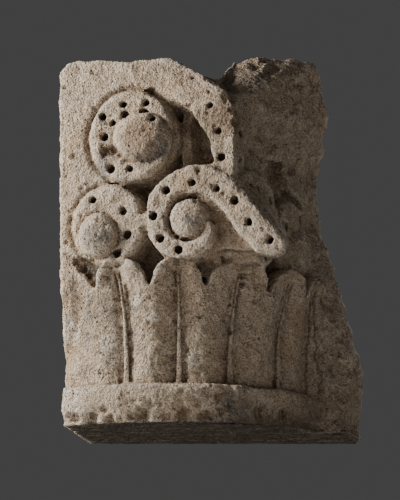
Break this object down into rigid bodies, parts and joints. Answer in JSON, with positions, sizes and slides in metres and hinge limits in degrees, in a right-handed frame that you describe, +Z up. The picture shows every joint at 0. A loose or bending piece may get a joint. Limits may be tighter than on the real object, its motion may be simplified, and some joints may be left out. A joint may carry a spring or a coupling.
{
  "type": "romanesque capital",
  "caption": "Fragment of a carved limestone half capital with upright leaves below and drilled scrolls above.",
  "frame": {"origin": "on the axis of the round shaft below, at the lower bed", "axes": "+Z up; -Y out of the front, as the picture looks at it; the sawn back is on the +Y side; the joint is on the -X side"},
  "size_m": [0.2685, 0.1967, 0.33],
  "materials": {
    "limestone": "rough, weathered"
  },
  "bodies": {
    "root": {"capital": "limestone"}
  },
  "joints": []
}
